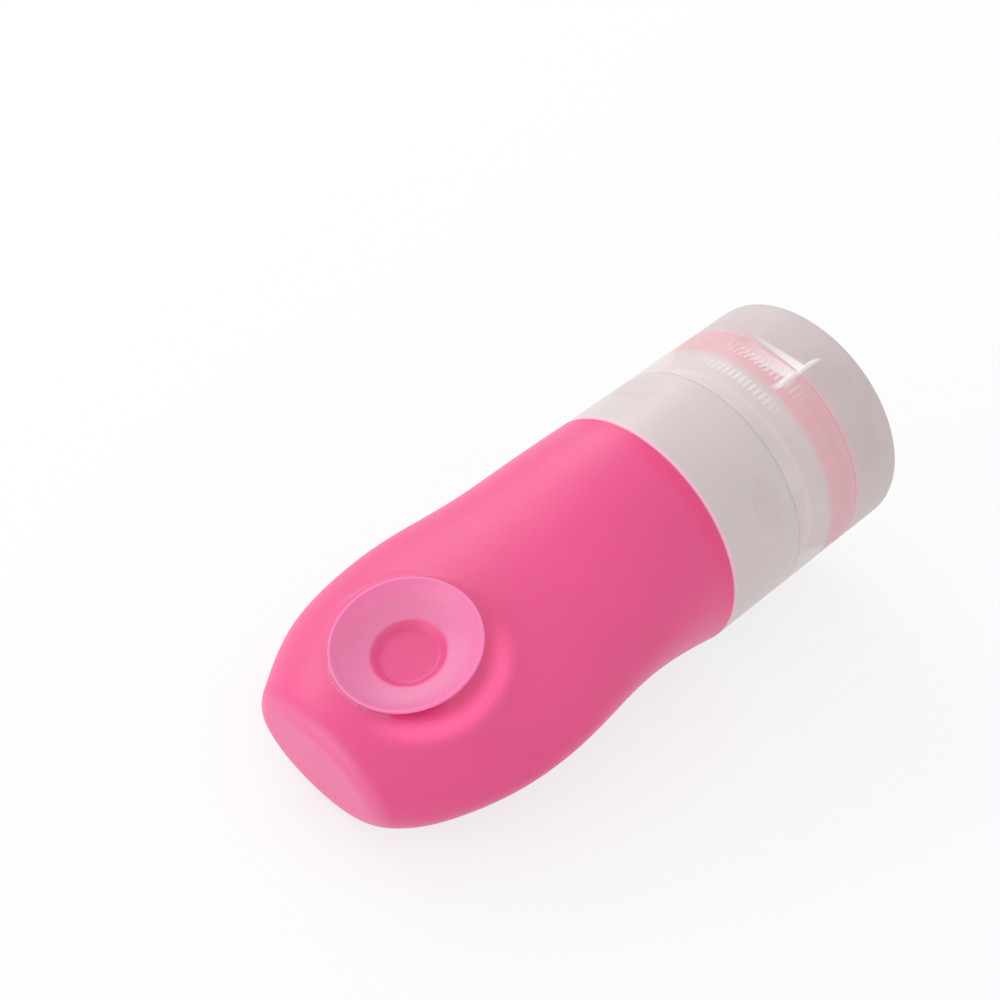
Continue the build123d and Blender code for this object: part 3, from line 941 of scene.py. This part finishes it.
def silicone_material():
    """Satin silicone: deep pink where it is thick, paler where it is thin, with a faint moulded grain,
    painted shade beside the collar, painted light on the base facet and a painted glow where light comes
    through the cup's foot.
    """
    colours = bpy.context.scene.bottle_colours
    shoulder = Plan().length
    material, tree, shader, place = principled("pink_silicone")
    cloud, grain, normal = moulded(tree, place, SILICONE_CLOUD, SILICONE_GRAIN)
    foot_glow = attribute(tree, "foot_glow")
    # Painted shade in the band beside the collar, and painted light in the band at the base facet
    collar_shade = band_mask(tree, place, *(shoulder + end for end in COLLAR_SHADE_BAND), COLLAR_SHADE_SOFTNESS)
    base = band_mask(tree, place, FAR_BELOW, LIT_BASE_TOP, LIT_BASE_SOFTNESS)
    pink = clouded(tree, cloud, colours.silicone, spread=0.04)
    for amount, colour in ((collar_shade * COLLAR_SHADE_COVER, colours.shaded_silicone),
                           (foot_glow * GLOW_COVER, colours.glowing_silicone),
                           # Painted light: the base facet is painted paler, as lit from the side and by the
                           # table
                           (base * LIT_BASE_COVER, colours.thin_and_lit_silicone),
                           (attribute(tree, "thin"), colours.thin_and_lit_silicone)):
        pink = mottle(tree, amount, pink, colour)
    feed(tree, shader, {
        "Base Color": pink, "Roughness": grain * 0.08 + 0.36, "IOR": 1.41, "Specular IOR Level": 0.75,
        "Emission Color": (*colours.glowing_silicone, 1), "Emission Strength": foot_glow * GLOW_STRENGTH,
        "Subsurface Weight": 0.5, "Subsurface Radius": (1.0, 0.35, 0.55), "Subsurface Scale": 3.0 * MM,
        "Sheen Weight": 0.07, "Sheen Roughness": 0.4, "Sheen Tint": (1.0, 0.75, 0.88, 1), **normal})
    return material


def collar_material():
    """Milky moulded plastic with a soft sheen, with pink light bounced from the silicone painted on the edge
    that meets it.
    """
    colours = bpy.context.scene.bottle_colours
    material, tree, shader, place = principled("milky_collar")
    cloud, grain, normal = moulded(tree, place, COLLAR_CLOUD, COLLAR_GRAIN)
    milky = clouded(tree, cloud, colours.collar, spread=0.03)
    # The pink band at the collar's lower edge is painted light bounced from the silicone
    edge = band_mask(tree, place, FAR_BELOW, Plan().collar_bottom + COLLAR_LIP, PINK_BOUNCE_SOFTNESS)
    feed(tree, shader, {
        "Base Color": mottle(tree, edge, milky, colours.pink_bounce), "Roughness": grain * 0.08 + 0.30,
        "Subsurface Weight": 0.3, "Subsurface Radius": (1.0, 0.8, 0.75), "Subsurface Scale": 2.0 * MM,
        **normal})
    return material


def frosted_material(name, colour, clearness, pink_band=None, ribs=None):
    """Frosted plastic that shows faintly what lies behind it, with the lip's pink light painted on as
    scattered through it and the ribs painted as highlights, where they are given.
    """
    colours = bpy.context.scene.bottle_colours
    material, tree, shader, place = principled(name)
    cloud, grain, normal = moulded(tree, place, FROST_CLOUD, FROST_GRAIN)
    paint = clouded(tree, cloud, colour, spread=0.06)
    # The pink band is painted light from the silicone lip, scattered through the frosted wall
    if pink_band:
        cover = band_mask(tree, place, *pink_band) * (cloud * PINK_CLOUD + PINK_COVER)
        paint = mottle(tree, cover, paint, colours.shown_through)
    # The ribs are painted near white as highlights, only where the light catches them
    if ribs:
        paint = mottle(tree, rib_highlight_mask(tree, place, ribs) * RIB_HIGHLIGHT_COVER, paint, colours.highlight_white)
    # The hinge's bead is painted near white and nearly opaque, as a painted highlight
    bead = attribute(tree, "bead")
    inside = number(tree, "ShaderNodeNewGeometry", "Backfacing")
    alpha = (cloud * FROST_CLOUD_ALPHA + (FROST_ALPHA - clearness)) * (inside * -INSIDE_CLEARNESS + 1.0)
    feed(tree, shader, {
        "Base Color": mottle(tree, bead * BEAD_HIGHLIGHT_COVER, paint, colours.highlight_white),
        "Alpha": alpha.math("MAXIMUM", bead * BEAD_HIGHLIGHT_ALPHA), "Roughness": grain * 0.10 + 0.38, **normal})
    return material


def rubber_material(name, colour):
    """Soft clear rubber."""
    material, tree, shader, place = principled(name)
    cloud, grain, normal = moulded(tree, place, RUBBER_CLOUD, RUBBER_GRAIN)
    feed(tree, shader, {
        "Base Color": clouded(tree, cloud, colour, spread=0.05), "Roughness": grain * 0.1 + 0.45, **normal})
    return material


class BOTTLE_OT_body(bpy.types.Operator):
    """Soft body with its base facet, suction cup, plug wall, sleeve and lip"""

    bl_idname = "bottle.body"
    bl_label = "Soft Body"

    def execute(self, context):
        plan = Plan()
        material = silicone_material()
        facet = body_section(plan, [0])[0]
        beyond = body_section(plan, [BASE_EDGE])[0]
        inner = facet - (BASE_EDGE * BASE_EDGE_SHARE, BASE_EDGE * BASE_EDGE_SHARE, 0, 0)
        base = [inner * (share, share, 1, 1) for share in FACET_SHARES]
        base += [bent(inner, facet, beyond, share) for share in np.linspace(0, 1, BASE_RINGS)]
        cup_zone = np.arange(BASE_EDGE, CUP_ZONE, CUP_ZONE_STEP)[1:]
        waist = np.linspace(cup_zone[-1], plan.length - SHOULDER_EDGE, WAIST_RINGS)[1:]
        outside = np.concatenate([np.array(base), body_section(plan, cup_zone), body_section(plan, waist)])
        plug_top, plug_bore = plan.deck_bottom - SEAT_GAP, plan.plug_wall - plan.wall
        neck = [(plan.radius, plan.length - SHOULDER_EDGE), (plan.radius, plan.length, SHOULDER_EDGE),
                (plan.plug_wall, plan.length, PLUG_EDGE), (plan.plug_wall, plug_top),
                (plan.sleeve, plug_top), (plan.sleeve, plan.lip_bottom),
                (plan.neck_top_radius, plan.lip_bottom), (plan.neck_top_radius, plan.lip_top),
                (plan.mouth, plan.lip_top), (plan.mouth, plug_top - plan.wall),
                (plug_bore, plug_top - plan.wall), (plug_bore, plan.length - plan.wall)]
        shoulder = [(radius, radius, 0, height)
                    for radius, height in rounded(neck, SLEEVE_EDGE, closed=False)[1:]]
        depths = np.linspace(plan.length - plan.wall, plan.wall + FLOOR_EDGE, INSIDE_RINGS)
        inside = body_section(plan, depths) - (plan.wall, plan.wall, 0, 0)
        floor = [facet * (share, share, 1, 1) - (WELD * share, WELD * share, 0, -plan.wall)
                 for share in FLOOR_SHARES]
        rings = to_rings(np.concatenate([outside, shoulder, inside, floor]))
        rings[:len(outside)] = raise_pedestal(rings[:len(outside)])
        piece = skin("bottle_body_skin", rings, material)
        combine(piece, "DIFFERENCE", cup_hollow(material))
        combine(piece, "UNION", suction_cup(material))
        mark_silicone(piece)
        seat(piece, plan, "bottle", "silicone_pink", "bottle_body")
        return {"FINISHED"}


class BOTTLE_OT_collar(bpy.types.Operator):
    """Milky collar with its finger dimples, deck and threaded neck"""

    bl_idname = "bottle.collar"
    bl_label = "Collar"

    def execute(self, context):
        plan = Plan()
        sizes = context.scene.bottle_sizes
        material = collar_material()
        skirt = plan.radius - COLLAR_WALL
        corners = [(skirt, plan.collar_bottom), (plan.radius, plan.collar_bottom, COLLAR_LIP),
                   (plan.radius, plan.collar_top, COLLAR_EDGE),
                   (plan.neck, plan.collar_top, NECK_FOOT_EDGE),
                   (plan.neck, plan.neck_step), (plan.neck_top_radius, plan.neck_step),
                   (plan.neck_top_radius, plan.neck_top), (plan.neck_bore, plan.neck_top),
                   (plan.neck_bore, plan.deck_bottom), (skirt, plan.deck_bottom)]
        outline = refined(rounded(corners, COLLAR_INNER_EDGE), COLLAR_STEP)
        piece = turned("collar_shell", outline, material, segments=COLLAR_SEGMENTS)
        ridge = thread("neck_thread", plan.neck - WELD, plan.thread_crest, plan.collar_top + THREAD_START,
                       material)
        combine(piece, "UNION", ridge)
        apply_tree(piece, dimple_tree(), Count=sizes.dimple_count, First=DIMPLE_FIRST_ANGLE,
                   Height=plan.length + sizes.collar_height * DIMPLE_HEIGHT_SHARE,
                   Centre=plan.radius - DIMPLE_DEPTH + DIMPLE_RADIUS, Radius=DIMPLE_RADIUS,
                   Length=DIMPLE_LENGTH, Edge=DIMPLE_EDGE, Material=material)
        clean(piece)
        seat(piece, plan, "bottle", "collar_white", "collar")
        return {"FINISHED"}


class BOTTLE_OT_neck_ring(bpy.types.Operator):
    """Ring that clamps the silicone lip, with its two rows of fine ribs"""

    bl_idname = "bottle.neck_ring"
    bl_label = "Clamping Ring"

    def execute(self, context):
        plan = Plan()
        material = frosted_material("natural_ring", context.scene.bottle_colours.natural, clearness=0.3)
        flange = plan.ring_bore - RING_FLANGE_REACH
        corners = [(plan.ring_bore, plan.ring_bottom), (plan.ring, plan.ring_bottom),
                   (plan.ring, plan.ring_top), (flange, plan.ring_top), (flange, plan.flange_bottom),
                   (plan.ring_bore, plan.flange_bottom)]
        outline = refined(rounded(corners, RING_EDGE), RING_STEP)
        piece = turned("clamping_ring", outline, material, segments=RING_SEGMENTS)
        upper = plan.ring_top - RIB_INSET - UPPER_RIB
        lower = upper - RIB_ROW_GAP - LOWER_RIB
        apply_tree(piece, rib_tree(), Count=context.scene.bottle_sizes.rib_count, Radius=plan.ring,
                   Height=RIB_HEIGHT, Width=RIB_WIDTH, Lower_Bottom=lower, Lower_Length=LOWER_RIB,
                   Upper_Bottom=upper, Upper_Length=UPPER_RIB, Material=material)
        clean(piece)
        seat(piece, plan, "bottle", "ring_natural", "neck_ring")
        return {"FINISHED"}


def hinge_recess(plan, material):
    """Space outside the flat round the film hinge, with a short ramp at either end."""
    low, high = plan.split - HINGE_DROP, plan.split + HINGE_RISE
    outside = plan.radius + OVERRUN
    section = ((outside, low - HINGE_RAMP), (plan.radius, low), (plan.hinge_flat, low + HINGE_RAMP),
               (plan.hinge_flat, high - HINGE_RAMP), (plan.radius, high), (outside, high + HINGE_RAMP))
    rows = [[(-reach, across, height) for reach, height in section]
            for across in (-plan.radius, plan.radius)]
    return skin("hinge_recess", rows, material)


def hinge_bead(plan, low, high, width, material):
    """Slim bead on the edge of the hinge's flat, rounded off at both ends."""
    turns = np.linspace(0, 2 * math.pi, BEAD_SIDES, endpoint=False)
    centre = width * BEAD_INSET_SHARE - plan.hinge_flat
    rows = []
    for share in np.linspace(0, 1, BEAD_RINGS):
        swell = width / 2 * math.sqrt(max(1 - (2 * share - 1) ** BEAD_SQUARENESS, BEAD_END_SHARE))
        height = low + (high - low) * share
        rows.append([(centre + swell * math.cos(turn), swell * math.sin(turn) - plan.flat_edge, height)
                     for turn in turns])
    return skin("hinge_bead", rows, material)


def mark_bead(piece, plan, width):
    """Writes where a piece carries the bead of the hinge."""
    inward, across, height = vertex_places(piece).T
    from_bead = np.hypot(inward + plan.hinge_flat - width * BEAD_INSET_SHARE, across + plan.flat_edge)
    low, high = plan.split - HINGE_DROP - OVERRUN, plan.split + HINGE_RISE + OVERRUN
    on_bead = (from_bead < width * BEAD_REACH_SHARE) & (height > low) & (height < high)
    write_attribute(piece, "bead", on_bead.astype(float))


class BOTTLE_OT_cap(bpy.types.Operator):
    """Frosted screw cap with its skirt, shoulder, deck, spout, plug seal and valve socket"""

    bl_idname = "bottle.cap"
    bl_label = "Screw Cap"

    def execute(self, context):
        plan = Plan()
        split = plan.split
        low, high, softness = PINK_IN_CAP
        # The cap carries the lip's pink as painted light and the ribs as painted highlights
        material = frosted_material("frosted_cap", context.scene.bottle_colours.frosted, clearness=0.14,
                                    pink_band=(split + low, split + high, softness),
                                    ribs=[(split + bottom, split + top) for bottom, top in RIBS_SEEN])
        deck, top = plan.cap_deck_bottom, plan.cap_deck_top
        snap, snap_low, snap_high = (plan.riser + SNAP_BEAD, plan.riser_top - 2 * SNAP_BEAD_HEIGHT,
                                     plan.riser_top - SNAP_BEAD_HEIGHT)
        socket, socket_end = SOCKET_BORE + SOCKET_WALL, deck - SOCKET_LENGTH
        seal_bore, seal_end = plan.plug_seal - PLUG_SEAL_WALL, deck - PLUG_SEAL_LENGTH
        corners = [(plan.skirt_bore, plan.skirt_bottom), (plan.radius, plan.skirt_bottom, SPLIT_EDGE),
                   (plan.radius, split, SPLIT_EDGE), (plan.riser, split), (plan.riser, snap_low),
                   (snap, snap_low), (snap, snap_high), (plan.riser, snap_high), (plan.riser, top),
                   (SPOUT_RADIUS, top, SPOUT_EDGE), (SPOUT_RADIUS, plan.spout_top, SPOUT_EDGE),
                   (SPOUT_BORE, plan.spout_top, SPOUT_EDGE), (SPOUT_BORE, deck), (SOCKET_BORE, deck),
                   (SOCKET_BORE, socket_end), (socket, socket_end), (socket, deck), (seal_bore, deck),
                   (seal_bore, seal_end), (plan.plug_seal, seal_end), (plan.plug_seal, deck),
                   (plan.riser_bore, deck), (plan.riser_bore, split - SHOULDER),
                   (plan.skirt_bore, split - SHOULDER)]
        piece = turned("screw_cap", refined(rounded(corners, CAP_EDGE, steps=3), CAP_STEP), material)
        ridge = thread("cap_thread", plan.skirt_bore + WELD, plan.neck + RUNNING_GAP,
                       plan.collar_top + THREAD_START + THREAD_PITCH / 2, material)
        combine(piece, "UNION", ridge)
        scoop_floor, outside = plan.radius - SCOOP_CUT, plan.radius + OVERRUN
        section = [(0, scoop_floor), (SCOOP_RADIUS, scoop_floor), (SCOOP_RADIUS, outside), (0, outside)]
        scoop = turned("thumb_scoop", section, material, segments=SCOOP_SEGMENTS, closed=False)
        place = Matrix.Translation((0, 0, split + SCOOP_RADIUS - SCOOP_DEPTH))
        scoop.data.transform(place @ Matrix.Rotation(math.radians(90), 4, "Y"))
        combine(piece, "DIFFERENCE", hinge_recess(plan, material), scoop)
        combine(piece, "UNION",
                hinge_bead(plan, split - HINGE_DROP, split - BEAD_GAP, BEAD_LOW_WIDTH, material))
        mark_bead(piece, plan, BEAD_LOW_WIDTH)
        seat(piece, plan, "cap", "cap_frosted", "cap")
        return {"FINISHED"}


class BOTTLE_OT_lid(bpy.types.Operator):
    """Frosted flip lid with its spout plug, the ring round the spout and the hinge film"""

    bl_idname = "bottle.lid"
    bl_label = "Flip Lid"

    def execute(self, context):
        plan = Plan()
        split = plan.split
        low, high, softness = PINK_IN_LID
        # The lid's darker tint is painted shade on the cap's same plastic, and its pink band is painted
        # light from the lip
        material = frosted_material("shaded_frosted_lid", context.scene.bottle_colours.shaded_frosted_lid, clearness=0.02,
                                    pink_band=(split + low, split + high, softness))
        ceiling = plan.lid_ceiling
        plug_bottom = plan.spout_top - PLUG_ENGAGEMENT
        ring_bottom = plan.spout_top - SPOUT_RING_OVERLAP
        bore = plan.radius - LID_WALL
        ring_bore = SPOUT_RING - SPOUT_RING_WALL
        corners = [(0, ceiling), (PLUG_BORE, ceiling), (PLUG_BORE, plug_bottom), (PLUG_TIP, plug_bottom),
                   (PLUG_RADIUS, plan.spout_top), (PLUG_RADIUS, ceiling), (ring_bore, ceiling),
                   (ring_bore, ring_bottom), (SPOUT_RING, ring_bottom), (SPOUT_RING, ceiling),
                   (bore, ceiling, LID_CORNER), (bore, plan.lid_bottom),
                   (plan.radius, plan.lid_bottom, SPLIT_EDGE), (plan.radius, plan.lid_end, LID_EDGE),
                   (0, plan.lid_end)]
        outline = refined(rounded(corners, LID_INNER_EDGE, closed=False, steps=5), CAP_STEP, closed=False)
        piece = turned("flip_lid", outline, material, closed=False)
        combine(piece, "DIFFERENCE", hinge_recess(plan, material))
        combine(piece, "UNION",
                hinge_bead(plan, split + BEAD_GAP, split + HINGE_RISE, BEAD_HIGH_WIDTH, material))
        film = block("hinge_film", (-plan.hinge_flat, -FILM_WIDTH / 2, split),
                     (-plan.hinge_flat + FILM, FILM_WIDTH / 2, plan.lid_bottom + WELD), material)
        combine(piece, "UNION", film)
        mark_bead(piece, plan, BEAD_HIGH_WIDTH)
        seat(piece, plan, "lid", "cap_frosted", "lid")
        return {"FINISHED"}


class BOTTLE_OT_inner_pieces(bpy.types.Operator):
    """Rubber and plastic of the seal, the slit valve and its retainer"""

    bl_idname = "bottle.inner_pieces"
    bl_label = "Seal and Valve"

    def execute(self, context):
        colours = context.scene.bottle_colours
        finishes = {"cap_seal": rubber_material("clear_seal", colours.seal),
                    "slit_valve": rubber_material("clear_valve", colours.seal),
                    "valve_retainer": frosted_material("natural_retainer", colours.natural, clearness=0.1)}
        for name, material in finishes.items():
            for slot in frame["nodes"][name].material_slots:
                slot.material = material
        return {"FINISHED"}


def soft_lamp(name, place, size, power):
    """Rectangular area lamp that faces the bottle."""
    data = bpy.data.lights.new(name, "AREA")
    data.shape = "RECTANGLE"
    data.size, data.size_y = size
    data.energy = power
    lamp = bpy.data.objects.new(name, data)
    bpy.context.scene.collection.objects.link(lamp)
    lamp.location = place
    lamp.rotation_euler = (LAMP_TARGET - place).to_track_quat("-Z", "Y").to_euler()


def seen_white(tree):
    """1 for the rays of the camera, of reflections and of clear parts, which are to meet plain white."""
    rays = node(tree, "ShaderNodeLightPath")
    seen = Number(tree, rays.outputs["Is Camera Ray"])
    for kind in ("Is Glossy Ray", "Is Transmission Ray"):
        seen = seen.math("MAXIMUM", Number(tree, rays.outputs[kind]))
    return seen


def table_material(colour):
    """Pale table that the camera sees as white, apart from a share of the shadows on it."""
    material, tree, shader, _ = principled("table")
    feed(tree, shader, {"Base Color": (*colour, 1), "Roughness": 0.8, "Specular IOR Level": 0.1})
    glow = node(tree, "ShaderNodeEmission", {"Color": (1, 1, 1, 1), "Strength": 1.0})
    mixed = node(tree, "ShaderNodeMixShader",
                 {0: seen_white(tree) * TABLE_WHITENESS, 1: shader.outputs[0], 2: glow.outputs[0]})
    feed(tree, tree.nodes["Material Output"], {"Surface": mixed.outputs[0]})
    return material


def world_light(strength):
    """Even white sky that the camera, reflections and see-through parts see at full white."""
    world = bpy.data.worlds.new("studio")
    bpy.context.scene.world = world
    world.use_nodes = True
    tree = world.node_tree
    power = seen_white(tree) * (1 - strength) + strength
    feed(tree, tree.nodes["Background"], {"Color": (1, 1, 1, 1), "Strength": power})


class BOTTLE_OT_stage(bpy.types.Operator):
    """Table, lamps, sky and camera"""

    bl_idname = "bottle.stage"
    bl_label = "Stage"

    def execute(self, context):
        scene = context.scene
        corners = [(TABLE_REACH * x, TABLE_REACH * y, 0) for x, y in ((-1, -1), (1, -1), (1, 1), (-1, 1))]
        table = new_piece("table", corners, faces=[(0, 1, 2, 3)],
                          material=table_material(scene.bottle_colours.floor))
        table.location.z = -TABLE_DROP
        soft_lamp("key_lamp", KEY_PLACE, KEY_SIZE, KEY_POWER)
        soft_lamp("side_lamp", SIDE_PLACE, SIDE_SIZE, SIDE_POWER)
        world_light(SKY_STRENGTH)
        camera = bpy.data.objects.new("camera", bpy.data.cameras.new("camera"))
        scene.collection.objects.link(camera)
        camera.data.lens = LENS_MM
        camera.data.clip_start = 0.01
        look = (CAMERA_TARGET - CAMERA_PLACE).to_track_quat("-Z", "Y").to_matrix().to_4x4()
        camera.matrix_world = Matrix.Translation(CAMERA_PLACE) @ look @ Matrix.Rotation(CAMERA_ROLL, 4, "Z")
        scene.camera = camera
        scene.view_settings.view_transform = "Standard"
        return {"FINISHED"}


PIECES = (BOTTLE_OT_body, BOTTLE_OT_collar, BOTTLE_OT_neck_ring, BOTTLE_OT_cap, BOTTLE_OT_lid,
          BOTTLE_OT_inner_pieces, BOTTLE_OT_stage)


class BOTTLE_PT_panel(bpy.types.Panel):
    """Sizes, colours and pieces of the bottle"""

    bl_idname = "BOTTLE_PT_panel"
    bl_label = "Travel Bottle"
    bl_space_type = "VIEW_3D"
    bl_region_type = "UI"
    bl_category = "Bottle"

    def draw(self, context):
        for group in (context.scene.bottle_sizes, context.scene.bottle_colours):
            for label in group.__annotations__:
                self.layout.prop(group, label)
        for piece in PIECES:
            self.layout.operator(piece.bl_idname)


CLASSES = (BottleSizes, BottleColours, *PIECES, BOTTLE_PT_panel)


def register():
    for each in CLASSES:
        bpy.utils.register_class(each)
    bpy.types.Scene.bottle_sizes = bpy.props.PointerProperty(type=BottleSizes)
    bpy.types.Scene.bottle_colours = bpy.props.PointerProperty(type=BottleColours)


def unregister():
    del bpy.types.Scene.bottle_colours
    del bpy.types.Scene.bottle_sizes
    for each in reversed(CLASSES):
        bpy.utils.unregister_class(each)


def main():
    """Makes every piece in order."""
    register()
    bpy.ops.bottle.body()
    bpy.ops.bottle.collar()
    bpy.ops.bottle.neck_ring()
    bpy.ops.bottle.cap()
    bpy.ops.bottle.lid()
    bpy.ops.bottle.inner_pieces()
    bpy.ops.bottle.stage()


if __name__ == "__main__":
    main()
